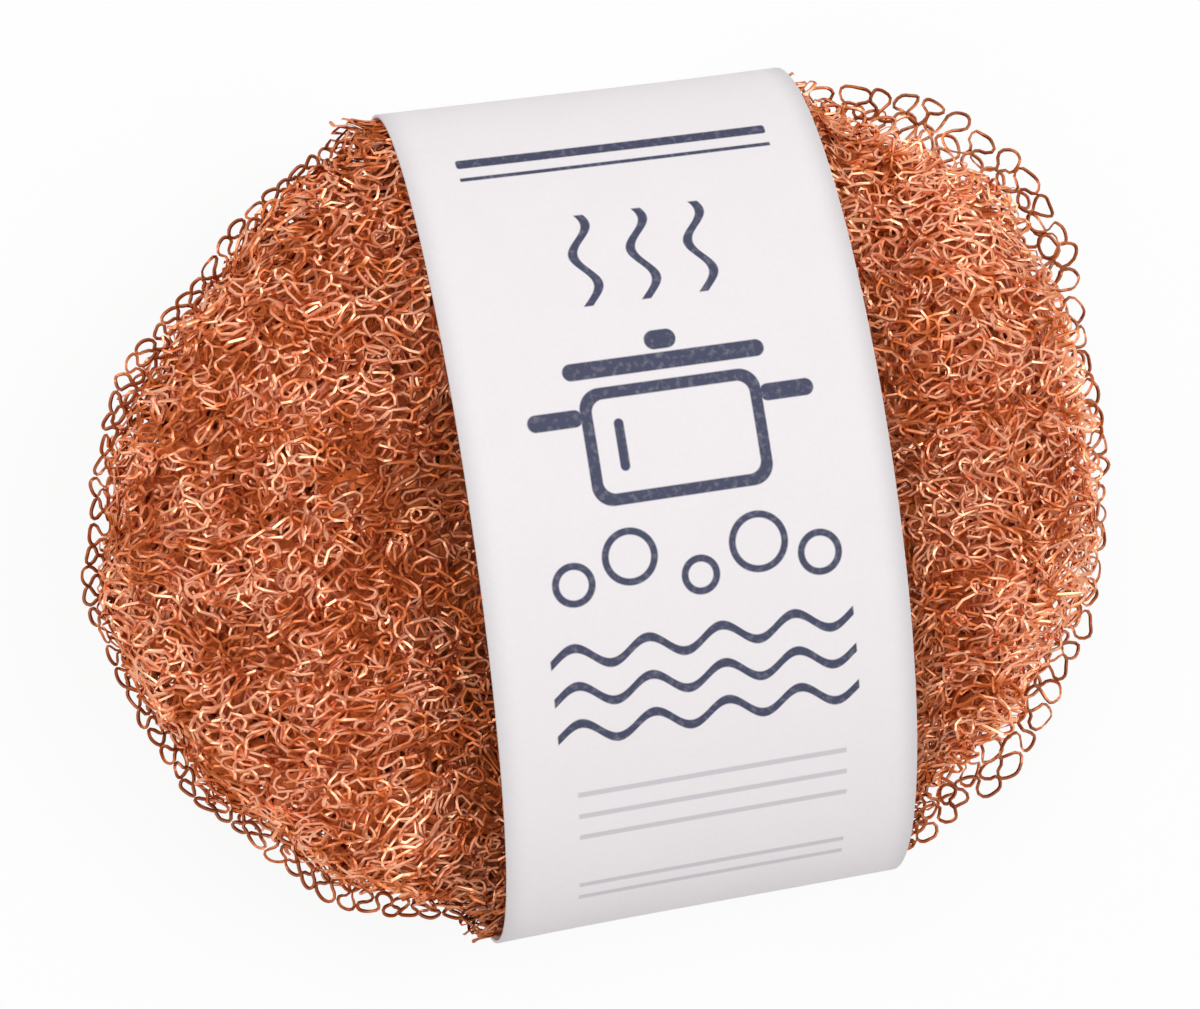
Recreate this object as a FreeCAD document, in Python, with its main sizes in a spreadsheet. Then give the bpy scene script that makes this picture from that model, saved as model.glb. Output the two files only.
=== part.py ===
import FreeCAD, Part
import math
import os

# A pot scrubber: one tube of knitted copper wire, pulled over itself turn after turn into a flat oval
# pad, and held together for sale by a paper band glued to itself on the underside.
# X runs along the pad, Y across it and Z up; the origin is on the table, under the middle of the pad.
doc = FreeCAD.newDocument("pot_scrubber")

# Driving dimensions, in millimetres unless the line says otherwise
DIMENSIONS = [
    ("pad_length", 100.5, "length of the copper pad, tip to tip"),
    ("pad_width", 78, "width of the pad at its waist, inside the band"),
    ("pad_height", 35, "height of the pad's oval section before it is pressed flat below"),
    ("flat_width", 30, "width of the flat that the pad's weight presses into its underside"),
    ("left_lobe", 40, "length over which the pad tapers to its left tip"),
    ("left_fullness", 1.17, "power of the left taper: 1 is an ellipse, less is fuller"),
    ("left_lean", -2.2, "how far the left tip leans across the pad"),
    ("right_lobe", 42, "length over which the pad tapers to its right tip"),
    ("right_fullness", 0.7, "power of the right taper, which is the blunter one"),
    ("right_lean", 3.7, "how far the right tip leans across the pad"),
    ("gather_depth", 2.4, "depth of the dip where the band gathers the knit in"),
    ("turn_wall", 1.6, "thickness of one turn of knitted fabric"),
    ("turn_gap", 0.3, "air between one turn and the next"),
    ("band_width", 40, "width of the paper band along the pad"),
    ("band_shift", 2.6, "the band's middle, measured from the middle of the pad"),
    ("band_clearance", 0.35, "air between the pad and the inside of the band"),
    ("paper", 0.25, "thickness of the paper"),
    ("overlap_length", 15, "length of the glued overlap on the underside"),
    ("overlap_ramp", 4, "length over which the outer ply of the overlap steps down"),
    ("glue_film", 0.1, "thickness of the glue between the two plies"),
    ("glue_margin", 2, "bare paper round the glue"),
]

sheet = doc.addObject("Spreadsheet::Sheet", "Sizes")
for row, (alias, value, meaning) in enumerate(DIMENSIONS, start=1):
    sheet.set(f"A{row}", meaning)
    sheet.set(f"B{row}", str(value))
    sheet.setAlias(f"B{row}", alias)
doc.recompute()

# Heights of the stack on the table: outer ply, glue, inner ply, air, pad
HALF_WIDTH = "Sizes.pad_width / 2"
HALF_HEIGHT = "Sizes.pad_height / 2"
INNER_PLY_BOTTOM = "Sizes.paper + Sizes.glue_film"
INNER_PLY_TOP = "2 * Sizes.paper + Sizes.glue_film"
FLAT_BELOW_AXIS = f"{HALF_HEIGHT} * sqrt(1 - (Sizes.flat_width / Sizes.pad_width) ^ 2)"
PAD_AXIS_HEIGHT = f"{INNER_PLY_TOP} + Sizes.band_clearance + {FLAT_BELOW_AXIS}"

# Turns a flat figure upright, its width across the pad and its normal along the pad
UPRIGHT = FreeCAD.Rotation(FreeCAD.Vector(1, 1, 1), 120)


def add(kind, name, **expressions):
    """A document object whose properties follow the sheet; a double underscore stands for a dot."""
    item = doc.addObject(kind, name)
    for property_name, expression in expressions.items():
        item.setExpression(property_name.replace("__", "."), expression)
    return item


def upright_oval(name, half_width, half_height, x, y="0", z="0"):
    """An oval standing across the pad."""
    oval = doc.addObject("Part::Ellipse", name)
    oval.Placement = FreeCAD.Placement(FreeCAD.Vector(0, 0, 0), UPRIGHT)
    oval.setExpression("MajorRadius", half_width)
    oval.setExpression("MinorRadius", half_height)
    oval.setExpression("Placement.Base.x", x)
    oval.setExpression("Placement.Base.y", y)
    oval.setExpression("Placement.Base.z", z)
    return oval


def cut(name, base, tool):
    """One object with another taken away."""
    rest = doc.addObject("Part::Cut", name)
    rest.Base = base
    rest.Tool = tool
    return rest


def box_below(name, top):
    """Everything under one height, as a block larger than the pad."""
    depth = "Sizes.pad_height"
    return add(
        "Part::Box",
        name,
        Length="2 * Sizes.pad_length",
        Width="2 * Sizes.pad_width",
        Height=depth,
        Placement__Base__x="-Sizes.pad_length",
        Placement__Base__y="-Sizes.pad_width",
        Placement__Base__z=f"{top} - {depth}",
    )


# The pad's outer form about its own axis: oval sections from the left tip to the right tip.
# The band gathers the knit, so top and underside dip beside it and swell again further out.
# Each section of a tapering end has an angle, from 0 at the waist to 90 degrees at the tip, and its share
# of the deepest dip; the widths don't dip, so the outline seen from above stays smooth.
LOBES = {
    "left": (
        (0, 0), (7, 0.05), (11, 0.5), (15, 1), (21, 0.7), (28, 0), (35, -0.1), (44, 0.1), (56, 0), (68, 0),
        (79, 0), (86, 0), (89, 0),
    ),
    "right": (
        (0, 0), (8, 0), (16, 0.05), (21, 0.5), (26, 1), (32, 0.7), (39, 0), (46, 0.1), (56, 0), (68, 0),
        (79, 0), (86, 0), (89, 0),
    ),
}
WAIST_SHARES = (0.25, 0.5, 0.75)
WAIST_LEFT = "(Sizes.left_lobe - Sizes.pad_length / 2)"
WAIST_RIGHT = "(Sizes.pad_length / 2 - Sizes.right_lobe)"
LOBE_RUNS = {"left": (WAIST_LEFT, "-"), "right": (WAIST_RIGHT, "+")}


def lobe_section(side, angle, dip):
    """One section of a tapering end."""
    start, way = LOBE_RUNS[side]
    reach = f"{math.sin(math.radians(angle)):.5f}"
    taper = f"{math.cos(math.radians(angle)):.5f} ^ Sizes.{side}_fullness"
    return upright_oval(
        f"{side}_section_{angle}",
        f"{HALF_WIDTH} * {taper}",
        f"{HALF_HEIGHT} * {taper} - Sizes.gather_depth * {dip}",
        f"{start} {way} Sizes.{side}_lobe * {reach}",
        f"Sizes.{side}_lean * {reach} ^ 2",
    )


sections = []
for angle, dip in reversed(LOBES["left"]):
    sections.append(lobe_section("left", angle, dip))
for share in WAIST_SHARES:
    x = f"{WAIST_LEFT} + {share} * ({WAIST_RIGHT} - {WAIST_LEFT})"
    sections.append(upright_oval(f"waist_section_{share * 100:.0f}", HALF_WIDTH, HALF_HEIGHT, x))
for angle, dip in LOBES["right"]:
    sections.append(lobe_section("right", angle, dip))
round_form = doc.addObject("Part::Loft", "round_form")
round_form.Sections = sections
round_form.Solid = True
round_form.Ruled = False
pad_form = cut("pad_form", round_form, box_below("under_the_flat", f"-{FLAT_BELOW_AXIS}"))


# The knitted fabric, from the turn that is seen down to the folded core
def drawn_in(name, inset):
    """The pad's form drawn in by one inset all round."""
    smaller = add(
        "Part::Scale",
        name,
        XScale=f"1 - 2 * ({inset}) / Sizes.pad_length",
        YScale=f"1 - 2 * ({inset}) / Sizes.pad_width",
        ZScale=f"1 - 2 * ({inset}) / Sizes.pad_height",
    )
    smaller.Base = pad_form
    smaller.Uniform = False
    return smaller


def settle(piece):
    """Lifts a piece of the pad from its own axis to its height above the table."""
    piece.setExpression("Placement.Base.z", PAD_AXIS_HEIGHT)


nodes = []
TURNS = ("outer_turn", "second_turn", "third_turn", "fourth_turn", "fifth_turn")
for index, name in enumerate(TURNS):
    outside = f"{index} * (Sizes.turn_wall + Sizes.turn_gap)"
    inside = f"{outside} + Sizes.turn_wall"
    turn = cut(name, drawn_in(f"{name}_outside", outside), drawn_in(f"{name}_inside", inside))
    settle(turn)
    nodes.append(turn)
core_roll = drawn_in("core_roll", f"{len(TURNS)} * (Sizes.turn_wall + Sizes.turn_gap)")
settle(core_roll)
nodes.append(core_roll)


# The paper band: one strip bent round the pad, its end stepping down under its beginning
def band_prism(name, air, length, bottom):
    """An oval block along the pad, flat below, standing off the pad by the given air."""
    oval = upright_oval(
        f"{name}_oval",
        f"{HALF_WIDTH} + {air}",
        f"{HALF_HEIGHT} + {air}",
        "Sizes.band_shift",
        "0",
        PAD_AXIS_HEIGHT,
    )
    block = add("Part::Extrusion", f"{name}_block", LengthFwd=length)
    block.Base = oval
    block.DirMode = "Custom"
    block.Dir = FreeCAD.Vector(1, 0, 0)
    block.Symmetric = True
    block.Solid = True
    return cut(name, block, box_below(f"{name}_under", bottom))


BAND_LEFT = "Sizes.band_shift - Sizes.band_width / 2"
BAND_RIGHT = "Sizes.band_shift + Sizes.band_width / 2"
OVERLAP_START = "-Sizes.overlap_length / 2"
RAMP_START = f"{OVERLAP_START} - Sizes.overlap_ramp"

band_outside = band_prism(
    "band_outside", "Sizes.band_clearance + Sizes.paper", "Sizes.band_width", INNER_PLY_BOTTOM
)
band_inside = band_prism(
    "band_inside", "Sizes.band_clearance", "2 * Sizes.band_width", INNER_PLY_TOP
)
closed_loop = cut("closed_loop", band_outside, band_inside)
slit = add(
    "Part::Box",
    "slit",
    Length="2 * Sizes.band_width",
    Width="Sizes.overlap_ramp",
    Height=f"{INNER_PLY_TOP} + Sizes.band_clearance",
    Placement__Base__x="Sizes.band_shift - Sizes.band_width",
    Placement__Base__y=RAMP_START,
)
open_loop = cut("open_loop", closed_loop, slit)
step_down = add(
    "Part::Wedge",
    "step_down",
    Xmin=BAND_LEFT,
    Xmax=BAND_RIGHT,
    X2min=BAND_LEFT,
    X2max=BAND_RIGHT,
    Ymin=RAMP_START,
    Ymax=OVERLAP_START,
    Zmin=INNER_PLY_BOTTOM,
    Zmax=INNER_PLY_TOP,
    Z2min="0",
    Z2max="Sizes.paper",
)
outer_ply = add(
    "Part::Box",
    "outer_ply",
    Length="Sizes.band_width",
    Width="Sizes.overlap_length",
    Height="Sizes.paper",
    Placement__Base__x=BAND_LEFT,
    Placement__Base__y=OVERLAP_START,
)
paper_band = doc.addObject("Part::MultiFuse", "paper_band")
paper_band.Shapes = [open_loop, step_down, outer_ply]
paper_band.Refine = True
nodes.append(paper_band)

# The film of glue between the two plies of the overlap
glue_line = add(
    "Part::Box",
    "glue_line",
    Length="Sizes.band_width - 2 * Sizes.glue_margin",
    Width="Sizes.overlap_length - 2 * Sizes.glue_margin",
    Height="Sizes.glue_film",
    Placement__Base__x=f"{BAND_LEFT} + Sizes.glue_margin",
    Placement__Base__y=f"{OVERLAP_START} + Sizes.glue_margin",
    Placement__Base__z="Sizes.paper",
)
nodes.append(glue_line)

doc.recompute()

# Every object must have built before anything is written
for item in doc.Objects:
    if "Invalid" in item.State or "Error" in item.State:
        raise RuntimeError(f"{item.Name} did not build: {item.State}")
for node in nodes:
    if node.Shape.isNull() or not node.Shape.isValid() or len(node.Shape.Solids) != 1:
        raise RuntimeError(f"{node.Name} is not one valid solid")

os.makedirs("parts", exist_ok=True)
for node in nodes:
    node.Label = node.Name
    node.Shape.exportStep(f"parts/{node.Name}.step")
    print(f"{node.Name}: {node.Shape.Volume / 1000:.2f} cm3")
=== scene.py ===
import math

import bpy
from mathutils import Matrix, Vector
from mathutils.bvhtree import BVHTree


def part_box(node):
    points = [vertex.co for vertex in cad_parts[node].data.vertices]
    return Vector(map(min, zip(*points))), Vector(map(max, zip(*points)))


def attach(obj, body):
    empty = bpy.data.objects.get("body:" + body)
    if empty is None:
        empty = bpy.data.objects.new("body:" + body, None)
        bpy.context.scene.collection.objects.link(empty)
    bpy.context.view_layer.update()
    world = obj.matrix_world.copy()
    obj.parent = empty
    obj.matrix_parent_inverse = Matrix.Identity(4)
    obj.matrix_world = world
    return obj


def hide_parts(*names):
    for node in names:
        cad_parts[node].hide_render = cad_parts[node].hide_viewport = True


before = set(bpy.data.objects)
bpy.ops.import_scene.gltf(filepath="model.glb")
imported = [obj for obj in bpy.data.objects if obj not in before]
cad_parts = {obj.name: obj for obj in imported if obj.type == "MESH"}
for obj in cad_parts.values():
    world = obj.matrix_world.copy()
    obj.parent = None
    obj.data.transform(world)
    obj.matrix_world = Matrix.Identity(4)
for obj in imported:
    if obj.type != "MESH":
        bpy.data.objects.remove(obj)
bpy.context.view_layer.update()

# The copper wire: thin drawn wire rolled flat, so that it flashes where a flat side meets the light.
# It is bare and new; painted light makes the crowns of the loops brighter, and painted shade browns them
# where they lie deep.
WIRE_WIDTH = 0.00042
WIRE_THICKNESS = 0.00018
PINK_COPPER = (0.95, 0.46, 0.28, 1.0)
RED_COPPER = (0.78, 0.205, 0.065, 1.0)
BOUNCE_LIT_COPPER = (0.88, 0.21, 0.05, 1.0)
COPPER_EDGE = (1.0, 0.45, 0.25, 1.0)
# brown for the copper's film and for painted shade beside the band, in the fold, in the hollows and on the
# rim loops
BROWN_FILM_AND_SHADE = (0.26, 0.065, 0.019, 1.0)
FILM_AND_SHADE_STRENGTH = 0.85
PATCHES_PER_METRE = 120.0
SHADED_LUMPS_PER_METRE = 180.0
GLINT_CLUSTERS_PER_METRE = 560.0
TONE_PER_METRE_OF_LIFT = 500.0
TONE_OF_SLACK = 0.28


def feed(tree, socket, value):
    """Links a socket to another, or sets its own value."""
    if isinstance(value, bpy.types.NodeSocket):
        tree.links.new(value, socket)
    else:
        socket.default_value = value


def calc(tree, operation, *values):
    """One sum with numbers."""
    node = tree.nodes.new("ShaderNodeMath")
    node.operation = operation
    for socket, value in zip(node.inputs, values):
        feed(tree, socket, value)
    return node.outputs["Value"]


def blend_colours(tree, share, low, high):
    """A colour between two, by a share from 0 to 1."""
    node = tree.nodes.new("ShaderNodeMix")
    node.data_type = "RGBA"
    feed(tree, node.inputs["Factor"], share)
    # the node has two inputs and an output for each kind of data; these are the colours
    feed(tree, node.inputs[6], low)
    feed(tree, node.inputs[7], high)
    return node.outputs[2]


def stretch(tree, value, low, high, to_low=0.0, to_high=1.0):
    """A value mapped from one range to another and held inside it."""
    node = tree.nodes.new("ShaderNodeMapRange")
    feed(tree, node.inputs["Value"], value)
    node.inputs["From Min"].default_value = low
    node.inputs["From Max"].default_value = high
    node.inputs["To Min"].default_value = to_low
    node.inputs["To Max"].default_value = to_high
    return node.outputs["Result"]


def cloud(tree, place, scale, detail=2.0):
    """Soft random shade from 0 to 1, with so many patches to the unit of its place."""
    node = tree.nodes.new("ShaderNodeTexNoise")
    feed(tree, node.inputs["Vector"], place)
    node.inputs["Scale"].default_value = scale
    node.inputs["Detail"].default_value = detail
    return node.outputs["Fac"]


def strand_value(tree, name):
    """A number that the knit carries along its wire."""
    node = tree.nodes.new("ShaderNodeAttribute")
    node.attribute_name = name
    return node.outputs["Fac"]


def copper_wire(name, bright, dull, metallic, rough, hollow_shade):
    """Copper with a tone for each strand, browned by painted shade in the hollows and where the strand's
    film-and-shade value says so.
    """
    material = bpy.data.materials.new(name)
    material.use_nodes = True
    tree = material.node_tree
    shader = tree.nodes["Principled BSDF"]
    place = tree.nodes.new("ShaderNodeTexCoord").outputs["Object"]
    patches = stretch(tree, cloud(tree, place, PATCHES_PER_METRE), 0.35, 0.65, 0.0, 0.25)
    # painted light and shade of lumps: patches a few millimetres wide are lighter, with darker ones between
    # them
    shaded_lumps = stretch(tree, cloud(tree, place, SHADED_LUMPS_PER_METRE), 0.38, 0.62, -0.5, 0.55)
    # painted glints: clusters of strands about a millimetre or two wide are lighter and smoother together,
    # others darker
    glint_clusters = stretch(tree, cloud(tree, place, GLINT_CLUSTERS_PER_METRE), 0.38, 0.62, -0.42, 0.84)
    # painted light on strands that rise out of the fabric and painted shade on strands that dive into it;
    # the tone also rises towards the right tip
    lit_when_lifted = calc(tree, "MULTIPLY", strand_value(tree, "lift"), TONE_PER_METRE_OF_LIFT)
    slackened = calc(tree, "MULTIPLY", strand_value(tree, "slack"), TONE_OF_SLACK)
    tone = strand_value(tree, "tone")
    for share in (glint_clusters, lit_when_lifted, slackened, shaded_lumps):
        tone = calc(tree, "ADD", tone, share)
    # painted shade: the film-and-shade value, the random film patches and the hollows all brown the copper
    film_and_shade = calc(tree, "MULTIPLY", strand_value(tree, "film_and_shade"), FILM_AND_SHADE_STRENGTH)
    film_and_shade = calc(tree, "MAXIMUM", film_and_shade, patches)
    film_and_shade = calc(tree, "MAXIMUM", film_and_shade, stretch(tree, tone, -0.15, 0.45, hollow_shade, 0.0))
    metal = blend_colours(tree, tone, dull, bright)
    tree.links.new(blend_colours(tree, film_and_shade, metal, BROWN_FILM_AND_SHADE), shader.inputs["Base Color"])
    tree.links.new(stretch(tree, tone, 0.0, 1.0, rough + 0.14, rough - 0.08), shader.inputs["Roughness"])
    shader.inputs["Metallic"].default_value = metallic
    shader.inputs["Specular Tint"].default_value = COPPER_EDGE
    return material


bright_wire = copper_wire("bright_copper", PINK_COPPER, RED_COPPER, metallic=0.95, rough=0.38, hollow_shade=0.6)
# painted bounce light: the hidden turns get a more diffuse copper of saturated orange, standing in for
# light reflected among the wires
bounce_lit_wire = copper_wire("bounce_lit_copper", RED_COPPER, BOUNCE_LIT_COPPER, metallic=0.35, rough=0.45, hollow_shade=0.0)

# The folded core and four turns over it: one tube of plain copper knit, pulled over itself turn by turn.
# Each turn is a stack of courses, rings of loops round the pad, each loop drawn through the one before.
# The fabric is slack and springy, so its loops wander, lean and stand out of the surface.
KNIT_INPUTS = {
    "Stitch Width": "NodeSocketFloat",
    "Loop Height": "NodeSocketFloat",
    "Lean": "NodeSocketFloat",
    "Swirl": "NodeSocketFloat",
    "Sway": "NodeSocketFloat",
    "Jitter": "NodeSocketFloat",
    "Dive": "NodeSocketFloat",
    "Wire Width": "NodeSocketFloat",
    "Wire Thickness": "NodeSocketFloat",
    "Wire Sides": "NodeSocketInt",
    "Points per Stitch": "NodeSocketInt",
    "Waist Half Width": "NodeSocketFloat",
    "Waist Half Height": "NodeSocketFloat",
    "Axis Height": "NodeSocketFloat",
    "Band Middle": "NodeSocketFloat",
    "Band Half Width": "NodeSocketFloat",
    "Spill": "NodeSocketFloat",
    "Lowest": "NodeSocketFloat",
    "Seed": "NodeSocketInt",
    "Metal": "NodeSocketMaterial",
}
FEWEST_STITCHES = 3.0
RIM_FINENESS = 2.0
RIM_CALM = 0.45
RIM_CROWN = 0.13
BEND_CLOSENESS = 0.25
SIZE_SPREAD = 0.3
SLACK_GROWTH = 0.2
SLACK_LOOSENESS = 0.25
TONE_SPREAD = 0.5
TONE_PER_METRE_PROUD = 300.0
SIZES_PER_METRE = 160.0
SWAYS_PER_METRE = 75.0
JITTERS_PER_METRE = 330.0
DIVES_PER_METRE = 550.0
TWISTS_PER_METRE = 240.0
TWIST_ANGLE = 1.2
SPILL_START = 0.0003
SPILL_END = 0.003
UNPRESSED_SHARE = 0.985
LEAST_REACH = 0.001

# the numbers by which half loops draw at random: the step from one course to the next, and what is added
# for the second and third draw; then the step in the seed of the dive from one course to the next
COURSE_STEP = 1000.0
SWIRL_DRAW = 250000.0
TONE_DRAW = 500000.0
DIVE_STEP = 1.7


def vector_calc(tree, operation, *values):
    """One sum with vectors; a scale takes a vector and a number."""
    node = tree.nodes.new("ShaderNodeVectorMath")
    node.operation = operation
    sockets = [node.inputs["Vector"], node.inputs["Scale"]] if operation == "SCALE" else node.inputs
    for socket, value in zip(sockets, values):
        feed(tree, socket, value)
    return node.outputs["Vector"]


def parts_of(tree, vector):
    """The three parts of a vector."""
    node = tree.nodes.new("ShaderNodeSeparateXYZ")
    tree.links.new(vector, node.inputs["Vector"])
    return node.outputs


def drift(tree, place, scale, seed):
    """A random vector, each part from about -1 to 1, that changes smoothly from place to place."""
    node = tree.nodes.new("ShaderNodeTexNoise")
    node.noise_dimensions = "4D"
    feed(tree, node.inputs["Vector"], place)
    feed(tree, node.inputs["W"], seed)
    node.inputs["Scale"].default_value = scale
    node.inputs["Detail"].default_value = 1.0
    centred = vector_calc(tree, "SUBTRACT", node.outputs["Color"], (0.5, 0.5, 0.5))
    return vector_calc(tree, "SCALE", centred, 4.0)


def chance(tree, low, high, identity, seed):
    """A random number for each identity."""
    node = tree.nodes.new("FunctionNodeRandomValue")
    node.data_type = "FLOAT"
    # the node has two inputs and an output for each kind of data; these are the plain numbers
    node.inputs[2].default_value = low
    node.inputs[3].default_value = high
    feed(tree, node.inputs["ID"], identity)
    feed(tree, node.inputs["Seed"], seed)
    return node.outputs[1]


def read_attribute(tree, name, kind="FLOAT"):
    """An attribute of the courses by its name."""
    node = tree.nodes.new("GeometryNodeInputNamedAttribute")
    node.data_type = kind
    node.inputs["Name"].default_value = name
    return node.outputs["Attribute"]


def here(tree):
    """Where a point is."""
    return tree.nodes.new("GeometryNodeInputPosition").outputs["Position"]


def way_out(tree):
    """The way out of the fabric at a point."""
    return vector_calc(tree, "NORMALIZE", read_attribute(tree, "outward", "FLOAT_VECTOR"))


def by_gauge(tree, on_rim, elsewhere):
    """One value for the thin wire of the rim and another for the rest."""
    return stretch(tree, read_attribute(tree, "gauge"), 0.9, 1.0, on_rim, elsewhere)


def course_number(tree):
    """The number of the course that a point is on."""
    node = tree.nodes.new("GeometryNodeFieldOnDomain")
    node.domain = "CURVE"
    node.data_type = "INT"
    tree.links.new(tree.nodes.new("GeometryNodeInputIndex").outputs["Index"], node.inputs["Value"])
    return node.outputs["Value"]


def move(tree, geometry, socket_name, value):
    """A Set Position step, by an offset or to a position."""
    node = tree.nodes.new("GeometryNodeSetPosition")
    tree.links.new(geometry, node.inputs["Geometry"])
    tree.links.new(value, node.inputs[socket_name])
    return node.outputs["Geometry"]


def noted(tree, geometry, name, value):
    """A Store Named Attribute step."""
    node = tree.nodes.new("GeometryNodeStoreNamedAttribute")
    node.data_type = "FLOAT"
    node.domain = "POINT"
    node.inputs["Name"].default_value = name
    tree.links.new(geometry, node.inputs["Geometry"])
    tree.links.new(value, node.inputs["Value"])
    return node.outputs["Geometry"]


def counted_courses(tree, given):
    """The courses as curves with a whole number of stitches each, drawn finer on the rim.

    Gives the curves, the width of a stitch and the number of points on it.
    """
    to_curve = tree.nodes.new("GeometryNodeMeshToCurve")
    tree.links.new(given["Courses"], to_curve.inputs["Mesh"])
    length = tree.nodes.new("GeometryNodeSplineLength").outputs["Length"]
    stitch = calc(tree, "MULTIPLY", given["Stitch Width"], read_attribute(tree, "stitch_size"))
    stitches = calc(tree, "ROUND", calc(tree, "DIVIDE", length, stitch))
    stitches = calc(tree, "MAXIMUM", stitches, FEWEST_STITCHES)
    points = calc(tree, "MULTIPLY", given["Points per Stitch"], by_gauge(tree, RIM_FINENESS, 1.0))
    resample = tree.nodes.new("GeometryNodeResampleCurve")
    resample.mode = "COUNT"
    tree.links.new(to_curve.outputs["Curve"], resample.inputs["Curve"])
    tree.links.new(calc(tree, "MULTIPLY", stitches, points), resample.inputs["Count"])
    return resample.outputs["Curve"], stitch, points


def loop_offset(tree, given, stitch, points):
    """How far each point of a loop lies from its course's line, and the tone of its strand."""
    tangent = tree.nodes.new("GeometryNodeInputTangent").outputs["Tangent"]
    normal = way_out(tree)
    wale = vector_calc(tree, "CROSS_PRODUCT", normal, tangent)
    course = course_number(tree)
    seed = given["Seed"]

    # how far round its stitch each point is, closer together at the bends than on the legs;
    # each course starts at a place of its own
    index = tree.nodes.new("GeometryNodeSplineParameter").outputs["Index"]
    start = chance(tree, 0.0, 1.0, course, seed)
    turn = calc(tree, "ADD", calc(tree, "DIVIDE", index, points), start)
    even = calc(tree, "MULTIPLY", turn, 2 * math.pi)
    closer = calc(tree, "SINE", calc(tree, "MULTIPLY", even, 2.0))
    angle = calc(tree, "SUBTRACT", even, calc(tree, "MULTIPLY", closer, BEND_CLOSENESS))

    # the loop, drawn narrow at its neck, with a rounder crown on the rim; its size changes slowly
    uneven = parts_of(tree, drift(tree, here(tree), SIZES_PER_METRE, seed))
    size = calc(tree, "ADD", calc(tree, "MULTIPLY", uneven["X"], SIZE_SPREAD), 1.0)
    size = calc(tree, "ADD", size, calc(tree, "MULTIPLY", read_attribute(tree, "slack"), SLACK_GROWTH))
    size = calc(tree, "MULTIPLY", size, read_attribute(tree, "loop_size"))
    crown = calc(tree, "COSINE", calc(tree, "MULTIPLY", angle, 3.0))
    crown = calc(tree, "MULTIPLY", crown, by_gauge(tree, RIM_CROWN, 0.0))
    rise = calc(tree, "ADD", calc(tree, "COSINE", angle), crown)
    rise = calc(tree, "MULTIPLY", rise, calc(tree, "MULTIPLY", given["Loop Height"], 0.5))
    rise = calc(tree, "MULTIPLY", rise, size)
    neck = calc(tree, "MULTIPLY", stitch, read_attribute(tree, "neck_size"))
    bulge = calc(tree, "MULTIPLY", calc(tree, "SINE", calc(tree, "MULTIPLY", angle, 2.0)), neck)

    # each head and foot leans out of the fabric or into it, and turns its own way; the rim keeps in line
    half_loop = calc(tree, "FLOOR", calc(tree, "MULTIPLY", calc(tree, "ADD", turn, 0.25), 2.0))
    identity = calc(tree, "ADD", half_loop, calc(tree, "MULTIPLY", course, COURSE_STEP))
    calm = by_gauge(tree, RIM_CALM, 1.0)
    lean = calc(tree, "MULTIPLY", chance(tree, -1.0, 1.0, identity, seed), given["Lean"])
    lean = calc(tree, "MULTIPLY", lean, calm)
    along_wale = calc(tree, "MULTIPLY", rise, calc(tree, "COSINE", lean))
    proud = calc(tree, "MULTIPLY", calc(tree, "ABSOLUTE", rise), calc(tree, "SINE", lean))
    swirl = chance(tree, -1.0, 1.0, calc(tree, "ADD", identity, SWIRL_DRAW), seed)
    swirl = calc(tree, "ADD", swirl, calc(tree, "MULTIPLY", uneven["Y"], 0.5))
    swirl = calc(tree, "MULTIPLY", calc(tree, "MULTIPLY", swirl, given["Swirl"]), calm)
    cosine = calc(tree, "COSINE", swirl)
    sine = calc(tree, "SINE", swirl)
    across = calc(tree, "MULTIPLY", bulge, cosine)
    across = calc(tree, "SUBTRACT", across, calc(tree, "MULTIPLY", along_wale, sine))
    onward = calc(tree, "MULTIPLY", along_wale, cosine)
    onward = calc(tree, "ADD", onward, calc(tree, "MULTIPLY", bulge, sine))
    loop = vector_calc(tree, "SCALE", tangent, across)
    loop = vector_calc(tree, "ADD", loop, vector_calc(tree, "SCALE", wale, onward))
    loop = vector_calc(tree, "ADD", loop, vector_calc(tree, "SCALE", normal, proud))

    # every half loop has a random tone of its own, and painted light makes it lighter where it stands out
    # of the fabric
    tone = chance(tree, 0.0, TONE_SPREAD, calc(tree, "ADD", identity, TONE_DRAW), seed)
    tone = calc(tree, "ADD", tone, calc(tree, "MULTIPLY", proud, TONE_PER_METRE_PROUD))
    return loop, tone


def slack_offset(tree, given):
    """How far the slack fabric carries each point, and how much of that is its dive.

    The loops sway together over a few stitches, and each one has its own jitter. Each course dives over
    and under the others as it goes, less so on the rim.
    """
    place = here(tree)
    loose = calc(tree, "MULTIPLY", read_attribute(tree, "slack"), SLACK_LOOSENESS)
    loose = calc(tree, "ADD", loose, 1.0)
    sway = vector_calc(tree, "SCALE", drift(tree, place, SWAYS_PER_METRE, given["Seed"]), given["Sway"])
    jitter = drift(tree, place, JITTERS_PER_METRE, given["Seed"])
    jitter = vector_calc(tree, "SCALE", jitter, given["Jitter"])
    wander = vector_calc(tree, "SCALE", vector_calc(tree, "ADD", sway, jitter), loose)
    own_seed = calc(tree, "MULTIPLY", course_number(tree), DIVE_STEP)
    own_seed = calc(tree, "ADD", own_seed, given["Seed"])
    dive = parts_of(tree, drift(tree, place, DIVES_PER_METRE, own_seed))["X"]
    dive = calc(tree, "MULTIPLY", dive, given["Dive"])
    dive = calc(tree, "MULTIPLY", dive, by_gauge(tree, RIM_CALM, 1.0))
    wander = vector_calc(tree, "ADD", wander, vector_calc(tree, "SCALE", way_out(tree), dive))
    return wander, dive


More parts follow.
